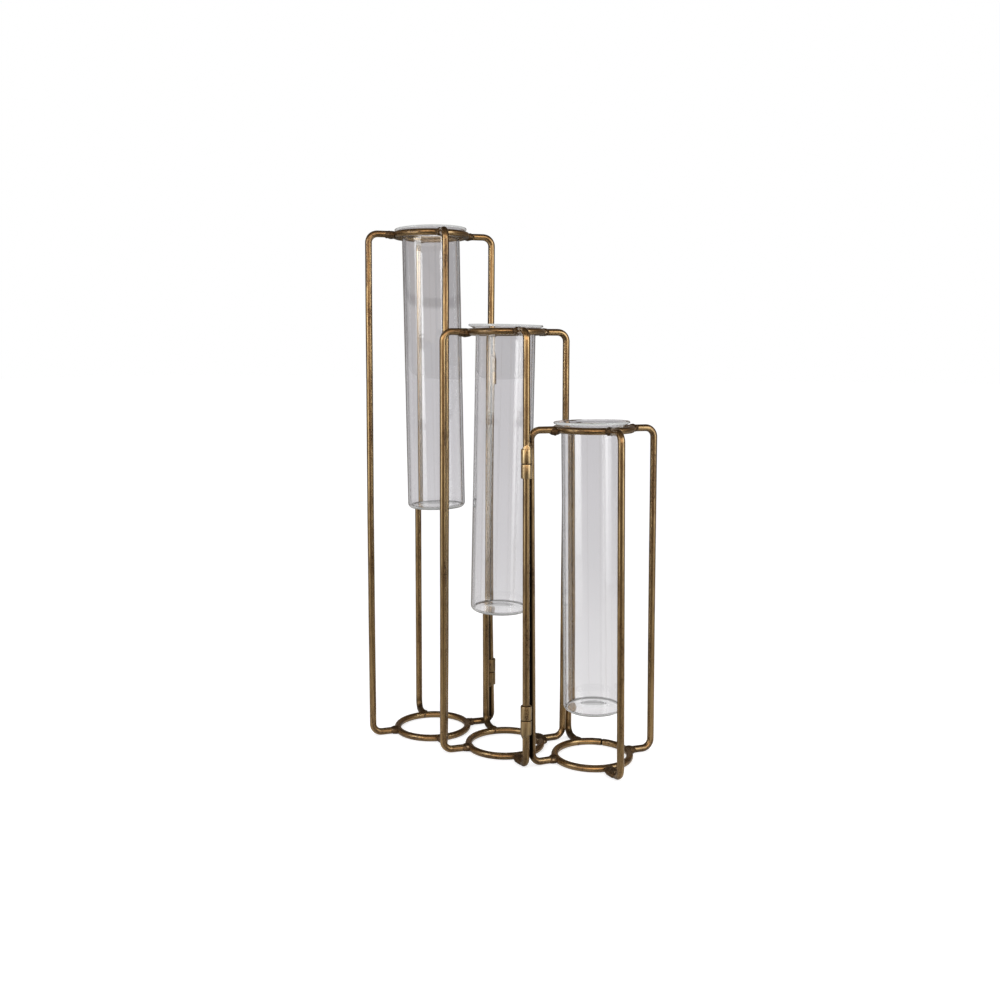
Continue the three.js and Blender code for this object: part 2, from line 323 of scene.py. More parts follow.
def spun(profile, steps):
    """A closed body turned about Z from points of radius and height."""
    bm = new_bmesh()
    verts = [bm.verts.new((radius, 0, height)) for radius, height in profile]
    edges = [bm.edges.new(pair) for pair in zip(verts, verts[1:])]
    if profile[0][0] > 0:
        edges.append(bm.edges.new((verts[-1], verts[0])))
    bmesh.ops.spin(
        bm,
        geom=verts + edges,
        axis=(0, 0, 1),
        cent=(0, 0, 0),
        angle=2 * math.pi,
        steps=steps,
        use_merge=True,
    )
    bmesh.ops.remove_doubles(bm, verts=bm.verts, dist=MERGE_DISTANCE)
    bmesh.ops.recalc_face_normals(bm, faces=bm.faces)
    return bm


def arc(centre, radius, start, end, steps):
    """Points of radius and height round an arc, with its angles in degrees."""
    angles = [math.radians(start + (end - start) * i / steps) for i in range(steps + 1)]
    return [(centre[0] + radius * math.cos(a), centre[1] + radius * math.sin(a)) for a in angles]


# Rings and uprights
RING_STEPS = 120
# Each ring's seam lies under a bead, apart from one that shows at the back of the short frame's foot
SEAM_ANGLE = 45
OPEN_SEAM_RING = "short_bottom_ring"
OPEN_SEAM_ANGLE = 96
# Painted shade in that seam, a black lump in its gap: its radius in wire diameters, and the seed of its
# lumps
SEAM_SHADE_RADIUS = 0.42
SEAM_SHADE_SEED = 45


def ring_bmesh(seam_gap, seam_angle):
    """A ring of wire about Z, bent from one piece whose ends meet at the seam."""
    start = Matrix.Translation((RING_RADIUS, 0, 0)) @ Matrix.Rotation(-math.pi / 2, 4, "X")
    wire = Wire(start, sizes().wire_diameter / 2)
    gap = seam_gap / RING_RADIUS
    wire.bend(Vector(), RING_RADIUS, 2 * math.pi - gap, "Z", RING_STEPS)
    bm = wire.cap()
    turn = Matrix.Rotation(seam_angle + gap / 2, 3, "Z")
    bmesh.ops.rotate(bm, verts=bm.verts, cent=(0, 0, 0), matrix=turn)
    return bm


def add_ring(name, end, material):
    node = f"{name}_{end}_ring"
    if node == OPEN_SEAM_RING:
        bm = ring_bmesh(sizes().open_seam_gap, math.radians(OPEN_SEAM_ANGLE))
    else:
        bm = ring_bmesh(sizes().seam_gap, math.radians(SEAM_ANGLE))
    bmesh.ops.translate(bm, verts=bm.verts, vec=frame_axis(name, end))
    add_piece(f"{name}_{end}_ring_wire", bm, material, node)


def add_seam_shade(material):
    """A black lump of painted shade in the gap of the one seam that shows."""
    radius = sizes().wire_diameter * SEAM_SHADE_RADIUS
    turn = Matrix.Rotation(math.radians(OPEN_SEAM_ANGLE), 4, "Z")
    place = Matrix.Translation(box_middle(OPEN_SEAM_RING)) @ turn @ Matrix.Translation((RING_RADIUS, 0, 0))
    bm = bead_bmesh((radius, sizes().open_seam_gap, radius), place, SEAM_SHADE_SEED)
    shade_and_dirt = bm.verts.layers.float[SHADE_AND_DIRT]
    for vert in bm.verts:
        vert[shade_and_dirt] = 1
    add_piece(f"{OPEN_SEAM_RING}_seam", bm, material, OPEN_SEAM_RING, replaces=False)


ARM_STEPS = 6
BEND_STEPS = 12
ROD_STEP = 0.005
ARM_START = RING_RADIUS + WIRE_DIAMETER / 4
# Ripples on the bow of an upright: how many there are, how deep, and the row of the noise they come from
BOW_RIPPLES = 6
RIPPLE_DEPTH = 0.5
RIPPLE_ROW = 0.5


def bow_upright(bm, height, seed, amount):
    """Bows an upright a little off the straight, most at its middle."""
    lean = Vector((math.cos(seed), math.sin(seed), 0))
    for vert in bm.verts:
        share = vert.co.z / height
        ripple = noise.noise(Vector((seed, share * BOW_RIPPLES, RIPPLE_ROW)))
        vert.co += lean * amount * (math.sin(math.pi * share) + RIPPLE_DEPTH * ripple)


def upright_bmesh(height, seed, bow):
    """A wire bent to a long C in the XZ plane: out along the foot, up the rod, back in along the arm."""
    bend = sizes().bend_radius
    foot = sizes().wire_diameter / 2
    top = height - foot
    corner = ROD_RADIUS - bend
    arm = Vector((corner - ARM_START, 0, 0))
    rod = Vector((0, 0, top - foot - 2 * bend))
    wire = Wire(Matrix.Translation((ARM_START, 0, foot)) @ Matrix.Rotation(math.pi / 2, 4, "Y"), foot)
    wire.straight(arm, ARM_STEPS)
    wire.bend(Vector((corner, 0, foot + bend)), bend, -math.pi / 2, "Y", BEND_STEPS)
    wire.straight(rod, round(rod.length / ROD_STEP))
    wire.bend(Vector((corner, 0, top - bend)), bend, -math.pi / 2, "Y", BEND_STEPS)
    wire.straight(-arm, ARM_STEPS)
    bm = wire.cap()
    bow_upright(bm, height, seed, bow)
    return bm


# Uprights that a hinge holds straighter, each with the one beside it
HINGED = {
    ("tall", "back_right"): ("middle", "back_left"),
    ("middle", "back_left"): ("tall", "back_right"),
    ("middle", "front_right"): ("short", "front_left"),
    ("short", "front_left"): ("middle", "front_right"),
}
HINGED_BOW = 0.2
# Painted shade between the two, from and to these shares of a rod's radius towards the other
SHADE_FROM = 0.5
SHADE_FULL = 0.95
# Points within this many radii of a rod's middle are on the rod, and not out on its arms
ROD_ZONE = 1.2
# The corner of each frame whose foot is dirty, how dirty it is, and the heights between which that fades
DIRTY_CORNER = "back_left"
FOOT_GRIME = 0.6
FOOT_GRIME_TO = 0.009
FOOT_GRIME_END = 0.012
# How far hand-set uprights stand off their places along X: at the foot, and at the top
LEANS = {
    "tall_front_left": (0.0004, -0.0006),
    "tall_front_right": (-0.0030, -0.0012),
    "tall_back_left": (0.0008, 0.0006),
    "middle_front_left": (-0.0002, 0.0005),
    "middle_back_right": (-0.0014, 0.0006),
    "short_front_left": (0.0014, -0.0003),
    "short_front_right": (0.0009, 0),
    "short_back_right": (-0.0008, -0.0002),
}
# The back hinge's pin bows between the sleeves that hold it, and the other way above them
BOWED_PIN = "tall_back_right"
PIN_BOW = 0.0011


def arm_share(vert, axis):
    """How far out along its arm a point of an upright lies: 0 at the ring, 1 at the rod."""
    return clamp(((vert.co - axis).xy.length - ARM_START) / (ROD_RADIUS - ARM_START))


def lean_upright(bm, axis, height, foot_shift, top_shift):
    """Sets an upright off its place, with its arms still on the rings."""
    for vert in bm.verts:
        shift = foot_shift + (top_shift - foot_shift) * vert.co.z / height
        vert.co.x += shift * arm_share(vert, axis)


def bow_pin(bm, axis):
    low = box_middle("back_hinge_lower_knuckle").z
    high = box_middle("back_hinge_upper_knuckle").z
    for vert in bm.verts:
        bow = PIN_BOW * math.sin(math.pi * (vert.co.z - low) / (high - low))
        vert.co.x -= bow * arm_share(vert, axis)


def rod_place(name, corner):
    return (frame_axis(name, "bottom") + outwards(corner) * ROD_RADIUS).to_2d()


def paint_shade_between(bm, rod, beside, top):
    """Paints shade on the side of a rod that faces the one beside it, up to the top of the lower frame."""
    shade_and_dirt = bm.verts.layers.float[SHADE_AND_DIRT]
    wire = sizes().wire_diameter / 2
    towards = (beside - rod).normalized()
    for vert in bm.verts:
        across = vert.co.to_2d() - rod
        if across.length < wire * ROD_ZONE and vert.co.z < top:
            share = clamp((across.dot(towards) / wire - SHADE_FROM) / (SHADE_FULL - SHADE_FROM))
            vert[shade_and_dirt] = share * share * (3 - 2 * share)


def dirty_foot(bm):
    """Dirt on the foot of an upright and on its lower bend."""
    shade_and_dirt = bm.verts.layers.float[SHADE_AND_DIRT]
    for vert in bm.verts:
        share = clamp((FOOT_GRIME_END - vert.co.z) / (FOOT_GRIME_END - FOOT_GRIME_TO))
        vert[shade_and_dirt] = max(vert[shade_and_dirt], FOOT_GRIME * share)


def add_upright(name, corner, seed, material):
    upright = f"{name}_{corner}"
    axis = frame_axis(name, "bottom")
    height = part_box(f"{name}_top_ring")[1].z
    hinged = (name, corner) in HINGED
    bow = sizes().wire_bow * (HINGED_BOW if hinged else 1)
    bm = upright_bmesh(height, seed, bow)
    place = Matrix.Translation((axis.x, axis.y, 0)) @ facing_out(corner)
    bmesh.ops.transform(bm, matrix=place, verts=bm.verts)
    if hinged:
        beside = HINGED[name, corner]
        top = min(height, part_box(f"{beside[0]}_top_ring")[1].z) - sizes().bend_radius
        # Painted shade on the side that faces the upright beside it
        paint_shade_between(bm, rod_place(name, corner), rod_place(*beside), top)
    if corner == DIRTY_CORNER:
        dirty_foot(bm)
    if upright == BOWED_PIN:
        bow_pin(bm, axis)
    elif upright in LEANS:
        lean_upright(bm, axis, height, *LEANS[upright])
    add_piece(f"{upright}_rod", bm, material, f"{name}_upright_{corner}")


# Braze beads, with the few that differ: how many times as long and as wide they are, how far out along the
# arm and how far down
PLAIN_BEAD = (1, 1, 0, 0)
ODD_BEADS = {
    ("tall", "top", "front_left"): (1.25, 1, 0.001, 0.0004),
    ("middle", "top", "front_left"): (1.25, 1, 0.001, 0.0008),
    ("short", "top", "front_left"): (0.9, 1, 0, 0.0009),
    ("middle", "bottom", "front_right"): (1.7, 1, 0.0045, 0),
    ("middle", "bottom", "back_right"): (1.2, 2.3, -0.0025, 0),
    ("short", "bottom", "front_right"): (1.7, 1, 0.0045, 0),
}
BEAD_SUBDIVISIONS = 4
# Lumps and grain of cooled filler metal
LUMP_SIZE = 0.0014
LUMP_DEPTH = 0.00055
GRAIN_SIZE = 0.0005
GRAIN_DEPTH = 0.00014


def roughen(bm, verts, seed):
    """Pushes points in and out along their normals, as cooled filler metal lies."""
    bm.normal_update()
    for vert in verts:
        spot = vert.co + Vector((seed, seed, seed))
        lump = noise.noise(spot / LUMP_SIZE) * LUMP_DEPTH
        grain = noise.noise(spot / GRAIN_SIZE) * GRAIN_DEPTH
        vert.co += vert.normal * (lump + grain)


def bead_bmesh(radii, place, seed):
    """One lump of filler metal, flat where it meets the table."""
    bm = new_bmesh()
    ball = Matrix.Diagonal((*radii, 1))
    bmesh.ops.create_icosphere(bm, subdivisions=BEAD_SUBDIVISIONS, radius=1, matrix=ball)
    roughen(bm, bm.verts, seed)
    bmesh.ops.transform(bm, matrix=place, verts=bm.verts)
    for vert in bm.verts:
        vert.co.z = max(vert.co.z, 0)
    keep_drawn(bm)
    return bm


def add_bead(name, end, corner, seed, material):
    longer, wider, shift, drop = ODD_BEADS.get((name, end, corner), PLAIN_BEAD)
    radii = (sizes().bead_reach * longer, sizes().bead_width * wider, sizes().bead_height)
    middle = bead_middle(name, end, corner) + outwards(corner) * shift - Vector((0, 0, drop))
    bm = bead_bmesh(radii, Matrix.Translation(middle) @ facing_out(corner), seed)
    node = f"{name}_upright_{corner}"
    add_piece(f"{name}_{end}_{corner}_braze", bm, material, node, replaces=False)


# Hinges
SLEEVE_STEPS = 64
EDGE_STEPS = 4
WELD_STEPS = 8
# A weld's height on its low side, as a share of that on its high side, and the power of its outline, which
# bulges more the smaller it is
WELD_LOW_SIDE = 0.15
WELD_FULLNESS = {"upper": 0.45, "lower": 0.8}
# How far above its sleeve a weld starts to be lumpy
WELD_ROUGH_FROM = 0.0004
# Painted shade all over a pair of sleeves
SLEEVE_SHADE = {
    "back_hinge_upper": 0,
    "back_hinge_lower": 0.4,
    "front_hinge_upper": 0,
    "front_hinge_lower": 0.2,
}
# Braze of a knuckle: half its width and its bite at each end in wire diameters, and half its height as a
# share of the knuckle's
KNUCKLE_BRAZE_WIDTH = 0.45
KNUCKLE_BRAZE_BITE = 0.2
KNUCKLE_BRAZE_HEIGHT = 0.38


def sleeve_profile(sleeve_length, weld_length=0, fullness=1):
    """Radius and height round a sleeve's wall from its free end, with any weld on its far end."""
    bore = sizes().wire_diameter / 2 + sizes().sleeve_clearance
    edge = sizes().sleeve_edge
    outer = SLEEVE_RADIUS - edge
    points = arc((bore + edge / 2, edge / 2), edge / 2, 180, 270, 2)
    points += arc((outer, edge), edge, -90, 0, EDGE_STEPS)
    points += arc((outer, sleeve_length - edge), edge, 0, 90, EDGE_STEPS)
    if weld_length > 0:
        inside = sizes().wire_diameter / 2 - edge
        for i in range(1, WELD_STEPS + 1):
            share = i / WELD_STEPS
            radius = inside + (outer - inside) * (1 - share) ** fullness
            points.append((radius, sleeve_length + weld_length * share))
        points.append((inside, sleeve_length - edge))
    points.append((bore, sleeve_length - edge))
    return points


def level_of(node):
    return "upper" if "upper" in node else "lower"


def darken_sleeve(bm, end, all_over):
    """Darkens a sleeve: painted shade all over it, and darker still round the end that runs on the next
    sleeve.
    """
    shade_and_dirt = bm.verts.layers.float[SHADE_AND_DIRT]
    for vert in bm.verts:
        vert[shade_and_dirt] = max(all_over, 1 - abs(vert.co.z - end) / sizes().sleeve_edge)


def add_collar(node, seed, material):
    """A stop collar, welded to its pin above the upper knuckle or below the lower one."""
    weld_length = sizes().weld_length
    low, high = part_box(node)
    sleeve_length = high.z - low.z - weld_length
    level = level_of(node)
    bm = spun(sleeve_profile(sleeve_length, weld_length, WELD_FULLNESS[level]), SLEEVE_STEPS)
    weld = [vert for vert in bm.verts if vert.co.z > sleeve_length + WELD_ROUGH_FROM]
    high_side = 1 if level == "upper" else -1
    for vert in weld:
        side = 0.5 + 0.5 * high_side * vert.co.x / vert.co.xy.length
        rise = WELD_LOW_SIDE + (1 - WELD_LOW_SIDE) * side
        vert.co.z = sleeve_length + (vert.co.z - sleeve_length) * rise
    roughen(bm, weld, seed)
    # Painted shade on the sleeve
    darken_sleeve(bm, 0, SLEEVE_SHADE[node.removesuffix("_collar")])
    keep_drawn(bm, seed)
    middle = box_middle(node)
    if level == "upper":
        place = Matrix.Translation((middle.x, middle.y, low.z))
    else:
        place = Matrix.Translation((middle.x, middle.y, high.z)) @ Matrix.Rotation(math.pi, 4, "X")
    bmesh.ops.transform(bm, matrix=place, verts=bm.verts)
    add_piece(f"{node}_sleeve", bm, material, node)


def add_knuckle(node, seed, sleeve_material, bead_material):
    """A knuckle that turns on its pin, and the braze that holds it to the neighbour's upright."""
    low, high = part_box(node)
    height = high.z - low.z
    pin = box_middle(node.replace("knuckle", "collar"))
    bm = spun(sleeve_profile(height), SLEEVE_STEPS)
    collar_end = height if level_of(node) == "upper" else 0
    # Painted shade on the sleeve
    darken_sleeve(bm, collar_end, SLEEVE_SHADE[node.removesuffix("_knuckle")])
    keep_drawn(bm, seed + len(COLLARS))
    bmesh.ops.translate(bm, verts=bm.verts, vec=(pin.x, pin.y, low.z))
    add_piece(f"{node}_sleeve", bm, sleeve_material, node)
    far = low.y if abs(low.y - pin.y) > abs(high.y - pin.y) else high.y
    near = pin.y + math.copysign(SLEEVE_RADIUS, far - pin.y)
    middle = Vector((pin.x, (near + far) / 2, (low.z + high.z) / 2))
    radii = (
        WIRE_DIAMETER * KNUCKLE_BRAZE_WIDTH,
        abs(far - near) / 2 + WIRE_DIAMETER * KNUCKLE_BRAZE_BITE,
        height * KNUCKLE_BRAZE_HEIGHT,
    )
    bm = bead_bmesh(radii, Matrix.Translation(middle), seed)
    add_piece(f"{node}_braze", bm, bead_material, node, replaces=False)


# Glass tubes
TUBE_STEPS = 128
TUBE_ARC_STEPS = 12
# How far the closing of each tube has drawn the underside of its foot up in the middle
HOLLOWS = {"tall": 0.0001, "middle": 0.0003, "short": 0.0006}
# Where the painted dark line round the outer corner of the foot ends, in degrees from level
PAINTED_LINE_END = -25
# Points of a tube's solid are the same to this many digits, and points of its profile to this length
SAME_POINT_DIGITS = 6
TOLERANCE = 1e-6


def tube_place(node, joint):
    """Where a tube's foot stands and how it leans, from its solid: (place, length, greatest radius)."""
    axis = joint_axis(joint)
    verts = frame["nodes"][node].data.vertices
    points = [Vector(point) for point in {vert.co.to_tuple(SAME_POINT_DIGITS) for vert in verts}]
    middle = sum(points, Vector()) / len(points)
    heights = [(point - middle).dot(axis) for point in points]
    radius = max((point - middle).cross(axis).length for point in points)
    turn = Vector((0, 0, 1)).rotation_difference(axis).to_matrix().to_4x4()
    return Matrix.Translation(middle + axis * min(heights)) @ turn, max(heights) - min(heights), radius


def underside(radius, hollow):
    """Points of radius and height from the middle of the foot to the edge of its flat."""
    shares = [i / TUBE_ARC_STEPS for i in range(TUBE_ARC_STEPS)]
    return [(radius * share, hollow * (1 + math.cos(math.pi * share)) / 2) for share in shares]


def tube_profile(tube_length, lip_radius, hollow):
    """Radius and height round the glass, from the middle of the foot outside to its middle inside."""
    s = sizes()
    radius = s.tube_diameter / 2
    wall = s.tube_wall
    corner = s.tube_corner
    angle = math.degrees(s.flare_angle)
    lip = wall / 2
    lip_middle = (lip_radius - lip, tube_length - lip)
    bend_x = radius + s.flare_radius
    across = Vector((math.cos(s.flare_angle), -math.sin(s.flare_angle)))
    bend_z = (across.dot(lip_middle) + lip + s.flare_radius - bend_x * across.x) / across.y
    inner = (corner - wall) / 2
    points = underside(radius - corner, hollow)
    points += arc((radius - corner, corner), corner, -90, 0, TUBE_ARC_STEPS)
    points += arc((bend_x, bend_z), s.flare_radius, 180, 180 - angle, TUBE_ARC_STEPS)
    points += arc(lip_middle, lip, -angle, 180 - angle, TUBE_ARC_STEPS)
    points += arc((bend_x, bend_z), s.flare_radius + wall, 180 - angle, 180, TUBE_ARC_STEPS)
    points += arc((radius - wall - inner, s.tube_base + inner), inner, 0, -90, TUBE_ARC_STEPS)
    points.append((0, s.tube_base))
    return points


def painted_corner_line(radius, height):
    """How dark the painted line on the foot's corners is at a point, from 0 to 1."""
    s = sizes()
    outer = s.tube_corner
    inner = (outer - s.tube_wall) / 2
    outside = Vector((radius - s.tube_diameter / 2 + outer, height - outer))
    inside = Vector((radius - s.tube_diameter / 2 + s.tube_wall + inner, height - s.tube_base - inner))
    if abs(outside.length - outer) < TOLERANCE and outside.y < 0:
        share = (math.degrees(math.atan2(outside.y, outside.x)) + 90) / (PAINTED_LINE_END + 90)
    elif abs(inside.length - inner) < TOLERANCE and inside.y < 0:
        share = (math.degrees(math.atan2(inside.y, inside.x)) + 90) / 90
    else:
        share = 0
    return math.sin(math.pi * clamp(share))


def shade_foot(bm):
    """Notes the painted dark line on the corners of a tube's foot, and its underside, where a painted glow
    shows, before the tube is put in its place.
    """
    painted_line = bm.verts.layers.float.new(PAINTED_LINE)
    under = bm.verts.layers.float.new(UNDERSIDE)
    edge = sizes().tube_diameter / 2 - sizes().tube_corner
    for vert in bm.verts:
        radius = vert.co.xy.length
        vert[painted_line] = painted_corner_line(radius, vert.co.z)
        below = vert.co.z < sizes().tube_base - TOLERANCE
        vert[under] = float(below and radius < edge + TOLERANCE)


def add_tube(name, material):
    node = f"{name}_glass_tube"
    place, tube_length, lip_radius = tube_place(node, f"{name}_tube_lift")
    bm = spun(tube_profile(tube_length, lip_radius, HOLLOWS[name]), TUBE_STEPS)
    shade_foot(bm)
    bmesh.ops.transform(bm, matrix=place, verts=bm.verts)
    add_piece(f"{name}_tube_glass", bm, material, node)


# Finishes
MIX_FACTOR, MIX_A, MIX_B, MIX_RESULT = 0, 6, 7, 2
NOISE_ROUGHNESS = 0.6
WHITE = (1, 1, 1, 1)
BLACK = (0, 0, 0, 1)


def add_node(tree, kind, inputs=(), **settings):
    """Adds a node with its settings, and with each input set to a value or linked to an output."""
    made = tree.nodes.new(kind)
    for name, value in settings.items():
        setattr(made, name, value)
    for name, value in dict(inputs).items():
        if isinstance(value, bpy.types.NodeSocket):
            tree.links.new(value, made.inputs[name])
        else:
            made.inputs[name].default_value = value
    return made


def mixed(tree, factor, a, b):
    """Output of a colour mix."""
    inputs = {MIX_FACTOR: factor, MIX_A: a, MIX_B: b}
    return add_node(tree, "ShaderNodeMix", inputs, data_type="RGBA").outputs[MIX_RESULT]


def maths(tree, operation, a, b=0):
    return add_node(tree, "ShaderNodeMath", {0: a, 1: b}, operation=operation).outputs[0]


def spread(tree, value, low, high, to_low=0.0, to_high=1.0):
    """Output that runs smoothly between two values while the input runs between low and high."""
    inputs = {"Value": value, "From Min": low, "From Max": high, "To Min": to_low, "To Max": to_high}
    return add_node(tree, "ShaderNodeMapRange", inputs, interpolation_type="SMOOTHSTEP").outputs["Result"]


def noise_value(tree, place, scale, detail):
    inputs = {"Vector": place, "Scale": scale, "Detail": detail, "Roughness": NOISE_ROUGHNESS}
    return add_node(tree, "ShaderNodeTexNoise", inputs).outputs["Fac"]


def drawn_out(tree, place, squeeze):
    """Output of coordinates squeezed along Z, which draws out a pattern on them."""
    inputs = {"Vector": place, "Scale": (1, 1, squeeze)}
    return add_node(tree, "ShaderNodeMapping", inputs).outputs["Vector"]


def attribute(tree, name, output="Fac"):
    return add_node(tree, "ShaderNodeAttribute", attribute_name=name).outputs[output]


def add_bump(tree, shader, height, strength, distance):
    inputs = {"Height": height, "Strength": strength, "Distance": distance}
    bump = add_node(tree, "ShaderNodeBump", inputs)
    tree.links.new(bump.outputs["Normal"], shader.inputs["Normal"])


def opaque(shade):
    return (*shade, 1.0)


def bare_material(name):
    """A material with nothing but its output: (material, tree, output)."""
    material = bpy.data.materials.new(name)
    material.use_nodes = True
    tree = material.node_tree
    tree.nodes.clear()
    return material, tree, tree.nodes.new("ShaderNodeOutputMaterial")


def new_material(name):
    """A material with a Principled shader on its output: (material, tree, shader, output)."""
    material, tree, out = bare_material(name)
    shader = tree.nodes.new("ShaderNodeBsdfPrincipled")
    tree.links.new(shader.outputs["BSDF"], out.inputs["Surface"])
    return material, tree, shader, out


def new_group(name, inputs, outputs):
    """A shader node group with its sockets: (tree, the inputs' sockets, the output node)."""
    tree = bpy.data.node_groups.new(name, "ShaderNodeTree")
    for direction, sockets in (("INPUT", inputs), ("OUTPUT", outputs)):
        for socket, kind in sockets.items():
            tree.interface.new_socket(name=socket, in_out=direction, socket_type=f"NodeSocket{kind}")
    return tree, tree.nodes.new("NodeGroupInput").outputs, tree.nodes.new("NodeGroupOutput")


# Scale and detail of the patina's patterns, of which all but the specks are drawn out along the wire
STREAKS = (900, 5)
BLOTCHES = (260, 3)
SPECKS = (1100, 4)
PATINA_SQUEEZE = 0.1
# What the heat of a weld adds to the patterns, and the values at which tarnish and pits start and are full
HEAT_STAIN = 0.15
TARNISH_RANGE = (0.82, 1.22)
PIT_RANGE = (1.05, 1.25)
PIT_DARKNESS = 0.85
PIT_DEPTH = 0.6
# Roughness of rubbed and of brown brass, and what pits and the marks of painted shade and dirt add to it
RUBBED_ROUGHNESS = 0.22
BROWN_ROUGHNESS = 0.30
PIT_ROUGHNESS = 0.15
SHADE_AND_DIRT_ROUGHNESS = 0.3
SLEEVE_DULLNESS = 0.02
# Wax on the brass, none where painted shade and dirt darken it
WAX = 0.35
WAX_ROUGHNESS = 0.22
# Strength and distance of the patina's bump
PATINA_BUMP = (0.2, 0.0002)


def patina_group():
    """Drawn streaks, blotches and dark specks of aged brass, darker where a weld has heated it, and near
    black where painted shade and dirt are marked.
    """
    name = "Antique Patina"
    if name in bpy.data.node_groups:
        return bpy.data.node_groups[name]
    inputs = {"Drawn": "Vector", "Heat": "Float", "Shade and Dirt": "Float"}
    inputs |= {"Bright": "Color", "Brown": "Color", "Dark": "Color", "Dark Shade and Dirt": "Color"}
    outputs = {"Color": "Color", "Roughness": "Float", "Coat": "Float", "Height": "Float"}
    tree, given, out = new_group(name, inputs, outputs)
    along = drawn_out(tree, given["Drawn"], PATINA_SQUEEZE)
    streaks = noise_value(tree, along, *STREAKS)
    blotches = noise_value(tree, along, *BLOTCHES)
    specks = noise_value(tree, given["Drawn"], *SPECKS)
    hot = maths(tree, "MULTIPLY", given["Heat"], HEAT_STAIN)
    worn = maths(tree, "ADD", maths(tree, "ADD", streaks, blotches), hot)
    tarnish = spread(tree, worn, *TARNISH_RANGE)
    eaten = maths(tree, "ADD", maths(tree, "ADD", specks, blotches), hot)
    pitted = spread(tree, eaten, *PIT_RANGE, 0, PIT_DARKNESS)
    brown = mixed(tree, tarnish, given["Bright"], given["Brown"])
    aged = mixed(tree, pitted, brown, given["Dark"])
    # Near black where the mesh marks painted shade and dirt
    tree.links.new(mixed(tree, given["Shade and Dirt"], aged, given["Dark Shade and Dirt"]), out.inputs["Color"])
    smooth = spread(tree, tarnish, 0, 1, RUBBED_ROUGHNESS, BROWN_ROUGHNESS)
    rough = maths(tree, "ADD", smooth, maths(tree, "MULTIPLY", pitted, PIT_ROUGHNESS))
    dull = maths(tree, "ADD", rough, maths(tree, "MULTIPLY", given["Shade and Dirt"], SHADE_AND_DIRT_ROUGHNESS))
    tree.links.new(dull, out.inputs["Roughness"])
    tree.links.new(spread(tree, given["Shade and Dirt"], 0, 1, WAX, 0), out.inputs["Coat"])
    height = maths(tree, "SUBTRACT", streaks, maths(tree, "MULTIPLY", pitted, PIT_DEPTH))
    tree.links.new(height, out.inputs["Height"])
    return tree


def aged_brass(name, bright, brown, dullness=0):
    """Brass under the patina, with its colours and what is added to its roughness."""
    if name in bpy.data.materials:
        return bpy.data.materials[name]
    material, tree, shader, _ = new_material(name)
    inputs = {
        "Drawn": attribute(tree, DRAWN, "Vector"),
        "Heat": attribute(tree, HEAT),
        "Shade and Dirt": attribute(tree, SHADE_AND_DIRT),
        "Bright": opaque(bright),
        "Brown": opaque(brown),
        "Dark": opaque(colours().wire_dark),
        "Dark Shade and Dirt": opaque(colours().shade_and_dirt_colour),
    }
    patina = add_node(tree, "ShaderNodeGroup", inputs, node_tree=patina_group()).outputs
    tree.links.new(patina["Color"], shader.inputs["Base Color"])
    rough = maths(tree, "ADD", patina["Roughness"], dullness)
    tree.links.new(rough, shader.inputs["Roughness"])
    tree.links.new(patina["Coat"], shader.inputs["Coat Weight"])
    add_bump(tree, shader, patina["Height"], *PATINA_BUMP)
    shader.inputs["Metallic"].default_value = 1.0
    shader.inputs["Coat Roughness"].default_value = WAX_ROUGHNESS
    return material


def wire_brass():
    return aged_brass("Antique Brass Wire", colours().wire_bright, colours().wire_brown)


def sleeve_brass():
    c = colours()
    return aged_brass("Hinge Sleeve Brass", c.sleeve_bright, c.sleeve_brown, SLEEVE_DULLNESS)


# Scale and detail of the patterns on filler metal, the share of the grain in its bare spots, and where
# these start and are full
BRAZE_SCALE = (420, 4)
BRAZE_GRAIN = (2400, 3)
GRAIN_SHARE = 0.5
BARE_RANGE = (0.85, 0.95)
SCALE_ROUGHNESS = 0.55
BARE_ROUGHNESS = 0.28
BRAZE_BUMP = (0.5, 0.0003)


def braze_metal():
    """Dark scale on filler metal, with bare bright spots."""
    name = "Braze Metal"
    if name in bpy.data.materials:
        return bpy.data.materials[name]
    c = colours()
    material, tree, shader, _ = new_material(name)
    place = add_node(tree, "ShaderNodeTexCoord").outputs["Object"]
    scale = noise_value(tree, place, *BRAZE_SCALE)
    grain = noise_value(tree, place, *BRAZE_GRAIN)
    chipped = maths(tree, "ADD", scale, maths(tree, "MULTIPLY", grain, GRAIN_SHARE))
    bare = spread(tree, chipped, *BARE_RANGE)
    brown = mixed(tree, grain, opaque(c.bead_dark), opaque(c.wire_brown))
    tree.links.new(mixed(tree, bare, brown, opaque(c.bead_bright)), shader.inputs["Base Color"])
    tree.links.new(spread(tree, bare, 0, 1, SCALE_ROUGHNESS, BARE_ROUGHNESS), shader.inputs["Roughness"])
    add_bump(tree, shader, grain, *BRAZE_BUMP)
    shader.inputs["Metallic"].default_value = 1.0
    return material


# Scale and detail of the smudges and of the waves, which are drawn out along the tube
SMUDGES = (35, 4)
SMUDGE_RANGE = (0.45, 0.75)
SMUDGE_ROUGHNESS = 0.03
WAVES = (60, 1)
WAVE_SQUEEZE = 0.03
WAVE_BUMP = (0.02, 0.001)
# The wall gets a painted dark outline where it is seen this far edge on, and glass is wall where its
# normal lies this level
FACING_BLEND = 0.5
PAINTED_OUTLINE_RANGE = (0.55, 0.8)
WALL_RANGE = (0.3, 0.7)
# A painted glow stands in for light thrown back inside the glass this often, which is caught in the wall
# and leaves it by an edge
GLOW_AFTER_BOUNCES = 3.5
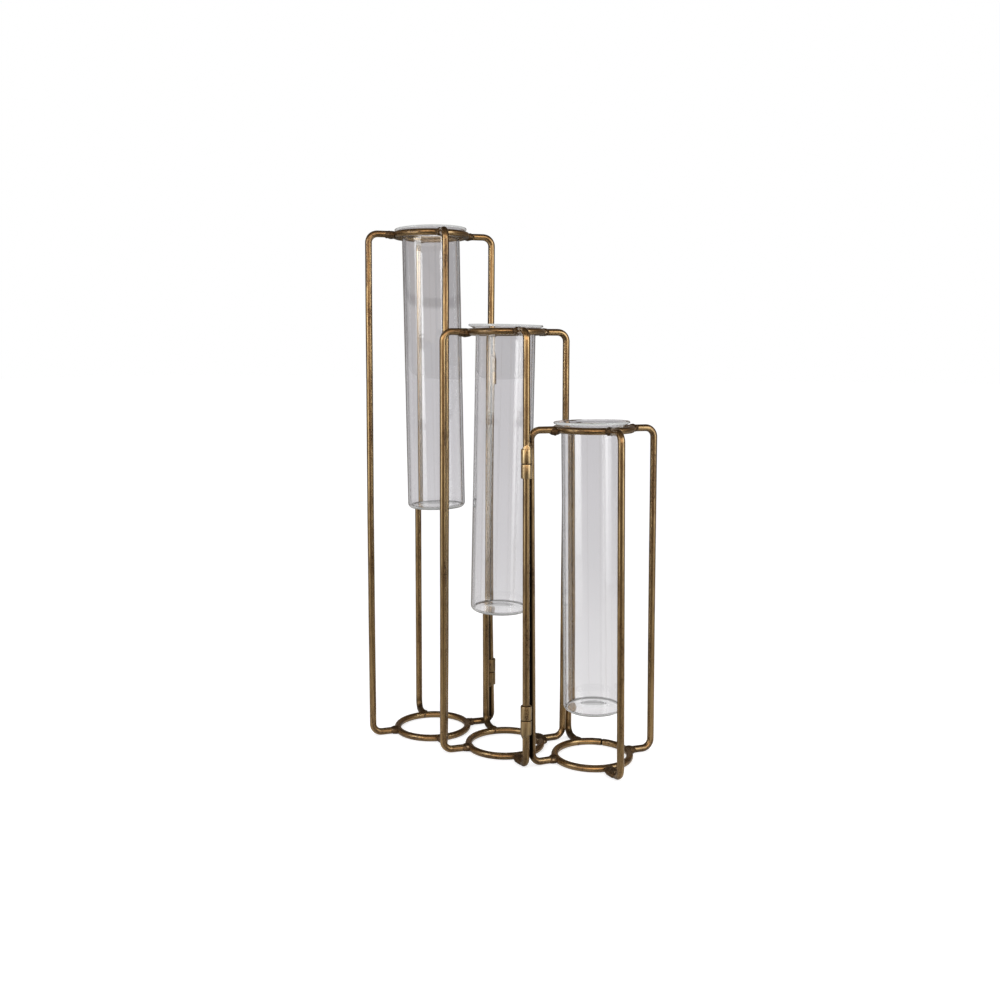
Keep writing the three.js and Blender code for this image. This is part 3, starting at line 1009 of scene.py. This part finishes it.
# The painted glow shows on the underside of the foot too, where that doesn't mirror everything
FOOT_GLOW = 0.6
GLASS_IOR = 1.5
FULL_MIRROR = 1 - math.sqrt(1 - 1 / GLASS_IOR**2)
FULL_MIRROR_EDGE = 0.001
SHADOW_OF_GLASS = (0.93, 0.93, 0.93, 1)
GLASS_DENSITY = 9


def clear_glass():
    """Drawn glass: a little wavy, faintly smudged, and green in its thick edges, with a painted dark
    outline and a painted glow.
    """
    name = "Clear Glass"
    if name in bpy.data.materials:
        return bpy.data.materials[name]
    material, tree, shader, out = new_material(name)
    coordinates = add_node(tree, "ShaderNodeTexCoord").outputs
    place = coordinates["Object"]
    smudges = noise_value(tree, place, *SMUDGES)
    tree.links.new(spread(tree, smudges, *SMUDGE_RANGE, 0, SMUDGE_ROUGHNESS), shader.inputs["Roughness"])
    waves = noise_value(tree, drawn_out(tree, place, WAVE_SQUEEZE), *WAVES)
    add_bump(tree, shader, waves, *WAVE_BUMP)
    facing = add_node(tree, "ShaderNodeLayerWeight", {"Blend": FACING_BLEND}).outputs["Facing"]
    lie = add_node(tree, "ShaderNodeSeparateXYZ", {"Vector": coordinates["Normal"]}).outputs["Z"]
    wall = spread(tree, maths(tree, "ABSOLUTE", lie), *WALL_RANGE, 1, 0)
    painted_outline = maths(tree, "MULTIPLY", spread(tree, facing, *PAINTED_OUTLINE_RANGE), wall)
    painted_line = attribute(tree, PAINTED_LINE)
    # Painted dark outline where the glass is seen edge on and round the foot's corners
    edge = mixed(tree, maths(tree, "MAXIMUM", painted_outline, painted_line), WHITE, opaque(colours().painted_glass_outline))
    tree.links.new(edge, shader.inputs["Base Color"])
    path = add_node(tree, "ShaderNodeLightPath").outputs
    trapped = maths(tree, "GREATER_THAN", path["Glossy Depth"], GLOW_AFTER_BOUNCES)
    mirror = (FULL_MIRROR - FULL_MIRROR_EDGE, FULL_MIRROR + FULL_MIRROR_EDGE)
    clear = spread(tree, facing, *mirror, FOOT_GLOW, 0)
    edge_glow = maths(tree, "MULTIPLY", maths(tree, "SUBTRACT", 1, painted_line), trapped)
    share = maths(tree, "MAXIMUM", edge_glow, maths(tree, "MULTIPLY", attribute(tree, UNDERSIDE), clear))
    # Painted glow at the edges and under the foot
    glow = mixed(tree, share, BLACK, opaque(colours().painted_glass_glow))
    tree.links.new(glow, shader.inputs["Emission Color"])
    shader.inputs["Emission Strength"].default_value = 1.0
    shader.inputs["IOR"].default_value = GLASS_IOR
    shader.inputs["Transmission Weight"].default_value = 1.0
    open_way = add_node(tree, "ShaderNodeBsdfTransparent", {"Color": SHADOW_OF_GLASS})
    inputs = {0: path["Is Shadow Ray"], 1: shader.outputs["BSDF"], 2: open_way.outputs["BSDF"]}
    tree.links.new(add_node(tree, "ShaderNodeMixShader", inputs).outputs["Shader"], out.inputs["Surface"])
    inputs = {"Color": opaque(colours().glass_depth), "Density": GLASS_DENSITY}
    depth = add_node(tree, "ShaderNodeVolumeAbsorption", inputs)
    tree.links.new(depth.outputs["Volume"], out.inputs["Volume"])
    return material


# Stage
CAMERA_PLACE = (0.3175, -0.6343, 0.26075)
CAMERA_LENS = 38.79
CAMERA_SHIFT = -0.0761
CAMERA_PITCH = 3.62
CAMERA_YAW = 26.98
TO_THE_FRONT = (math.sin(math.radians(CAMERA_YAW)), -math.cos(math.radians(CAMERA_YAW)), 0)
TO_THE_SIDE = (math.cos(math.radians(CAMERA_YAW)), math.sin(math.radians(CAMERA_YAW)), 0)
FLOOR_SIZE = 20
# Shade of the floor's paper, with its fibres
FLOOR_SHADE = 0.5
FIBRES = (300, 3)
FIBRE_RANGE = (0.3, 0.7)
FIBRE_DEPTH = 0.01
# What the camera and the glass see on top of that shade, near the row and far from it
FLOOR_NEAR = 0.2
FLOOR_FAR = 1.5
FLOOR_FOR_CAMERA_NEAR = 0.72
FLOOR_FOR_CAMERA_FAR = 0.85
FLOOR_IN_GLASS_NEAR = 0.31
FLOOR_IN_GLASS_FAR = 0.39
# What the metal mirrors on top of that shade close to the row, and where this has faded out
FLOOR_IN_METAL = 0.16
FLOOR_CLOSE = 0.1
FLOOR_CLEAR = 0.18
# How much of the shade itself the metal mirrors in front and behind, and how much to the sides
FLOOR_AHEAD_IN_METAL = 0.55
FLOOR_ASIDE_IN_METAL = 1.35
FLOOR_ASIDE_RANGE = (0.2, 0.75)
FLOOR_TINT_IN_METAL = (1.0, 0.93, 0.82)
# Room light by the sine of the elevation: pale below a dark edge just over the horizon, greyer above it
ROOM_TONES = ((-0.2, 0.51), (0.043, 0.51), (0.045, 0.355), (0.052, 0.355), (0.054, 0.435), (0.3, 0.40))
ROOM_TINT = (0.99, 0.965, 1.0)
# How much of the room the metal mirrors, from behind the row to in front of it, by the cosine to the front
METAL_TINT = (1.0, 0.80, 0.60)
BACK_IN_METAL = 0.3
FRONT_IN_METAL = 1.8
FRONT_RANGE = (-0.6, 0.9)
# How many times as much of it in a band over the horizon, most in front, and how many times above that
LOW_SIDE_IN_METAL = 1.9
LOW_FRONT_IN_METAL = 4.6
LOW_FRONT_RANGE = (0.6, 0.9)
LOW_RISE = (0.05, 0.22)
ABOVE_IN_METAL = 0.6
ABOVE_RISE = (0.4, 0.75)
# How much of the room the glass shows to the sides
SIDES_IN_GLASS = 0.25
SIDES_RANGE = (0.1, 0.75)
SOFTBOX_ANGLE = 57
SOFTBOX_DISTANCE = 0.53
SOFTBOX_WIDTH = 0.28
SOFTBOX_HEIGHT = 0.85
SOFTBOX_BOTTOM = 0.005
# Radiance of a softbox at its foot, and from about its middle upwards
SOFTBOX_LOW = 1.1
SOFTBOX_HIGH = 4.5
SOFTBOX_FULL_HEIGHT = 0.42
# Metal and glass mirror a softbox up to the first height, and nothing of it above the second
SOFTBOX_MIRRORED_TO = 0.48
SOFTBOX_MIRRORED_END = 0.6
TOP_LIGHT_SIZE = 0.9
TOP_LIGHT_HEIGHT = 1.3
TOP_LIGHT_RADIANCE = 1.5


def add_camera():
    data = bpy.data.cameras.new("camera")
    data.lens = CAMERA_LENS
    data.shift_y = CAMERA_SHIFT
    camera = bpy.data.objects.new("camera", data)
    camera.location = CAMERA_PLACE
    camera.rotation_euler = (math.radians(90 - CAMERA_PITCH), 0, math.radians(CAMERA_YAW))
    bpy.context.scene.collection.objects.link(camera)
    bpy.context.scene.camera = camera


def add_stage_sheet(name, place, material):
    """A flat square of the stage, one metre wide before it is placed."""
    bm = bmesh.new()
    bmesh.ops.create_grid(bm, x_segments=1, y_segments=1, size=0.5, matrix=place)
    mesh = bpy.data.meshes.new(name)
    bm.to_mesh(mesh)
    bm.free()
    mesh.materials.append(material)
    sheet = bpy.data.objects.new(name, mesh)
    bpy.context.scene.collection.objects.link(sheet)
    return sheet


def softbox_cloth():
    """Lit cloth of a softbox, dimmer towards its foot."""
    name = "Softbox Cloth"
    if name in bpy.data.materials:
        return bpy.data.materials[name]
    material, tree, out = bare_material(name)
    place = add_node(tree, "ShaderNodeTexCoord").outputs["Object"]
    height = add_node(tree, "ShaderNodeSeparateXYZ", {"Vector": place}).outputs["Z"]
    inputs = {"Value": height, "From Min": 0, "From Max": SOFTBOX_FULL_HEIGHT}
    inputs |= {"To Min": SOFTBOX_LOW, "To Max": SOFTBOX_HIGH}
    radiance = add_node(tree, "ShaderNodeMapRange", inputs).outputs["Result"]
    shiny = add_node(tree, "ShaderNodeLightPath").outputs["Is Glossy Ray"]
    upper = maths(tree, "MULTIPLY", shiny, spread(tree, height, SOFTBOX_MIRRORED_TO, SOFTBOX_MIRRORED_END))
    seen = maths(tree, "MULTIPLY", radiance, maths(tree, "SUBTRACT", 1, upper))
    glow = add_node(tree, "ShaderNodeEmission", {"Strength": seen})
    tree.links.new(glow.outputs["Emission"], out.inputs["Surface"])
    return material


def add_softbox(name, side):
    """A tall softbox to one side of the camera, standing on the floor and facing the row."""
    turn = math.radians(CAMERA_YAW + side * SOFTBOX_ANGLE)
    x = SOFTBOX_DISTANCE * math.sin(turn)
    y = -SOFTBOX_DISTANCE * math.cos(turn)
    spot = Matrix.Translation((x, y, SOFTBOX_BOTTOM + SOFTBOX_HEIGHT / 2))
    upright = Matrix.Rotation(turn, 4, "Z") @ Matrix.Rotation(math.pi / 2, 4, "X")
    place = spot @ upright @ Matrix.Diagonal((SOFTBOX_WIDTH, SOFTBOX_HEIGHT, 1, 1))
    add_stage_sheet(name, place, softbox_cloth()).visible_camera = False


def add_top_light():
    """A lamp over the row that nothing mirrors."""
    data = bpy.data.lights.new("top_light", "AREA")
    data.size = TOP_LIGHT_SIZE
    data.energy = TOP_LIGHT_RADIANCE * math.pi * TOP_LIGHT_SIZE**2
    lamp = bpy.data.objects.new("top_light", data)
    lamp.location.z = TOP_LIGHT_HEIGHT
    lamp.visible_camera = False
    lamp.visible_glossy = False
    bpy.context.scene.collection.objects.link(lamp)


def in_mirror(tree, path):
    """Output that is 1 for what is mirrored without passing through glass, and 0 for the rest."""
    return maths(tree, "GREATER_THAN", path["Is Glossy Ray"], path["Is Transmission Ray"])


def share_along(tree, vector, direction):
    """Output of how far a vector runs along a direction."""
    inputs = {0: vector, 1: direction}
    return add_node(tree, "ShaderNodeVectorMath", inputs, operation="DOT_PRODUCT").outputs["Value"]


def floor_paper():
    """Paper that the camera sees as white, with the shadow on it, and that glass and metal show too."""
    material, tree, out = bare_material("Floor Paper")
    path = add_node(tree, "ShaderNodeLightPath").outputs
    place = add_node(tree, "ShaderNodeTexCoord").outputs["Object"]
    away = add_node(tree, "ShaderNodeVectorMath", {0: place}, operation="LENGTH").outputs["Value"]
    mirrored = in_mirror(tree, path)
    white = spread(tree, away, FLOOR_NEAR, FLOOR_FAR, FLOOR_FOR_CAMERA_NEAR, FLOOR_FOR_CAMERA_FAR)
    pale = spread(tree, away, FLOOR_NEAR, FLOOR_FAR, FLOOR_IN_GLASS_NEAR, FLOOR_IN_GLASS_FAR)
    close = spread(tree, away, FLOOR_CLOSE, FLOOR_CLEAR, FLOOR_IN_METAL, 0)
    seen = maths(tree, "MULTIPLY", path["Is Camera Ray"], white)
    shown = maths(tree, "MULTIPLY", path["Is Transmission Ray"], pale)
    shining = maths(tree, "MULTIPLY", mirrored, close)
    strength = maths(tree, "ADD", maths(tree, "ADD", seen, shown), shining)
    tint = mixed(tree, path["Is Camera Ray"], opaque(ROOM_TINT), WHITE)
    glow = add_node(tree, "ShaderNodeEmission", {"Color": tint, "Strength": strength})
    fibre = noise_value(tree, place, *FIBRES)
    shade = spread(tree, fibre, *FIBRE_RANGE, FLOOR_SHADE - FIBRE_DEPTH, FLOOR_SHADE + FIBRE_DEPTH)
    along = add_node(tree, "ShaderNodeVectorMath", {0: place}, operation="NORMALIZE").outputs["Vector"]
    aside = maths(tree, "ABSOLUTE", share_along(tree, along, TO_THE_SIDE))
    level = spread(tree, aside, *FLOOR_ASIDE_RANGE, FLOOR_AHEAD_IN_METAL, FLOOR_ASIDE_IN_METAL)
    inputs = {0: FLOOR_TINT_IN_METAL, "Scale": maths(tree, "MULTIPLY", shade, level)}
    warm = add_node(tree, "ShaderNodeVectorMath", inputs, operation="SCALE").outputs["Vector"]
    paper = add_node(tree, "ShaderNodeBsdfDiffuse", {"Color": mixed(tree, mirrored, shade, warm)})
    both = add_node(tree, "ShaderNodeAddShader", {0: paper.outputs["BSDF"], 1: glow.outputs["Emission"]})
    tree.links.new(both.outputs["Shader"], out.inputs["Surface"])
    return material


def room_tones(tree, rise):
    """Output of the room's tone at a rise."""
    lowest, highest = ROOM_TONES[0][0], ROOM_TONES[-1][0]
    inputs = {"Value": rise, "From Min": lowest, "From Max": highest}
    share = add_node(tree, "ShaderNodeMapRange", inputs).outputs["Result"]
    ramp = add_node(tree, "ShaderNodeValToRGB", {"Fac": share})
    stops = ramp.color_ramp.elements
    while len(stops) < len(ROOM_TONES):
        stops.new(1)
    for stop, (height, tone) in zip(stops, ROOM_TONES):
        stop.position = (height - lowest) / (highest - lowest)
        stop.color = (*(tone * tint for tint in ROOM_TINT), 1)
    return ramp.outputs["Color"]


def add_room():
    """A white room for the camera, and a grey one in the glass and the metal."""
    world = bpy.data.worlds.new("room")
    world.use_nodes = True
    tree = world.node_tree
    tree.nodes.clear()
    path = add_node(tree, "ShaderNodeLightPath").outputs
    direction = add_node(tree, "ShaderNodeTexCoord").outputs["Generated"]
    rise = add_node(tree, "ShaderNodeSeparateXYZ", {"Vector": direction}).outputs["Z"]
    front = share_along(tree, direction, TO_THE_FRONT)
    mirrored = in_mirror(tree, path)
    grey = room_tones(tree, rise)
    warm = add_node(tree, "ShaderNodeVectorMath", {0: grey, 1: METAL_TINT}, operation="MULTIPLY")
    tone = mixed(tree, mirrored, grey, warm.outputs["Vector"])
    shade = mixed(tree, path["Is Camera Ray"], tone, WHITE)
    level = spread(tree, front, *FRONT_RANGE, BACK_IN_METAL, FRONT_IN_METAL)
    band = spread(tree, front, *LOW_FRONT_RANGE, LOW_SIDE_IN_METAL, LOW_FRONT_IN_METAL)
    low = spread(tree, rise, *LOW_RISE, 1, band)
    in_metal = maths(tree, "MULTIPLY", level, spread(tree, rise, *ABOVE_RISE, low, ABOVE_IN_METAL))
    in_glass = spread(tree, maths(tree, "ABSOLUTE", front), *SIDES_RANGE, SIDES_IN_GLASS, 1)
    through = spread(tree, path["Is Transmission Ray"], 0, 1, 1, in_glass)
    strength = spread(tree, mirrored, 0, 1, through, in_metal)
    light = add_node(tree, "ShaderNodeBackground", {"Color": shade, "Strength": strength})
    out = tree.nodes.new("ShaderNodeOutputWorld")
    tree.links.new(light.outputs["Background"], out.inputs["Surface"])
    bpy.context.scene.world = world


# Operators
class VASE_OT_add_rings(bpy.types.Operator):
    """Add the top and bottom rings of the frames"""

    bl_idname = "vase.add_rings"
    bl_label = "Rings"

    def execute(self, context):
        for name in FRAMES:
            for end in ENDS:
                add_ring(name, end, wire_brass())
        # Painted shade in the open seam
        add_seam_shade(wire_brass())
        return {"FINISHED"}


class VASE_OT_add_uprights(bpy.types.Operator):
    """Add the bent uprights of the frames"""

    bl_idname = "vase.add_uprights"
    bl_label = "Uprights"

    def execute(self, context):
        uprights = [(name, corner) for name in FRAMES for corner in CORNERS]
        for seed, (name, corner) in enumerate(uprights):
            add_upright(name, corner, seed, wire_brass())
        return {"FINISHED"}


class VASE_OT_add_beads(bpy.types.Operator):
    """Add the braze beads between the uprights and the rings"""

    bl_idname = "vase.add_beads"
    bl_label = "Braze Beads"

    def execute(self, context):
        for seed, bead in enumerate(BEADS):
            add_bead(*bead, seed, braze_metal())
        return {"FINISHED"}


class VASE_OT_add_hinges(bpy.types.Operator):
    """Add the collars and knuckles of the hinges"""

    bl_idname = "vase.add_hinges"
    bl_label = "Hinges"

    def execute(self, context):
        for seed, node in enumerate(COLLARS):
            add_collar(node, seed, sleeve_brass())
        for seed, node in enumerate(KNUCKLES):
            add_knuckle(node, seed, sleeve_brass(), braze_metal())
        return {"FINISHED"}


class VASE_OT_add_tubes(bpy.types.Operator):
    """Add the flared glass tubes"""

    bl_idname = "vase.add_tubes"
    bl_label = "Glass Tubes"

    def execute(self, context):
        for name in FRAMES:
            add_tube(name, clear_glass())
        return {"FINISHED"}


class VASE_OT_add_stage(bpy.types.Operator):
    """Add the camera, the floor, the softboxes and the room's light"""

    bl_idname = "vase.add_stage"
    bl_label = "Stage"

    def execute(self, context):
        context.scene.view_settings.view_transform = "Standard"
        add_camera()
        add_room()
        add_stage_sheet("floor", Matrix.Scale(FLOOR_SIZE, 4), floor_paper())
        add_top_light()
        add_softbox("left_softbox", -1)
        add_softbox("right_softbox", 1)
        return {"FINISHED"}


OPERATORS = (
    VASE_OT_add_stage,
    VASE_OT_add_rings,
    VASE_OT_add_uprights,
    VASE_OT_add_beads,
    VASE_OT_add_hinges,
    VASE_OT_add_tubes,
)


class VASE_PT_pieces(bpy.types.Panel):
    """Pieces of the bud vase, with their sizes and colours"""

    bl_idname = "VASE_PT_pieces"
    bl_label = "Bud Vase"
    bl_space_type = "VIEW_3D"
    bl_region_type = "UI"
    bl_category = "Bud Vase"

    def draw(self, context):
        for operator in OPERATORS:
            self.layout.operator(operator.bl_idname)
        for group in (context.scene.vase_sizes, context.scene.vase_colours):
            for name in group.__annotations__:
                self.layout.prop(group, name)


CLASSES = (VASE_PG_sizes, VASE_PG_colours, *OPERATORS, VASE_PT_pieces)


def register():
    for cls in CLASSES:
        bpy.utils.register_class(cls)
    bpy.types.Scene.vase_sizes = PointerProperty(type=VASE_PG_sizes)
    bpy.types.Scene.vase_colours = PointerProperty(type=VASE_PG_colours)


def unregister():
    del bpy.types.Scene.vase_colours
    del bpy.types.Scene.vase_sizes
    for cls in reversed(CLASSES):
        bpy.utils.unregister_class(cls)


def main():
    register()
    bpy.ops.vase.add_stage()
    bpy.ops.vase.add_rings()
    bpy.ops.vase.add_uprights()
    bpy.ops.vase.add_beads()
    bpy.ops.vase.add_hinges()
    bpy.ops.vase.add_tubes()


if __name__ == "__main__":
    main()
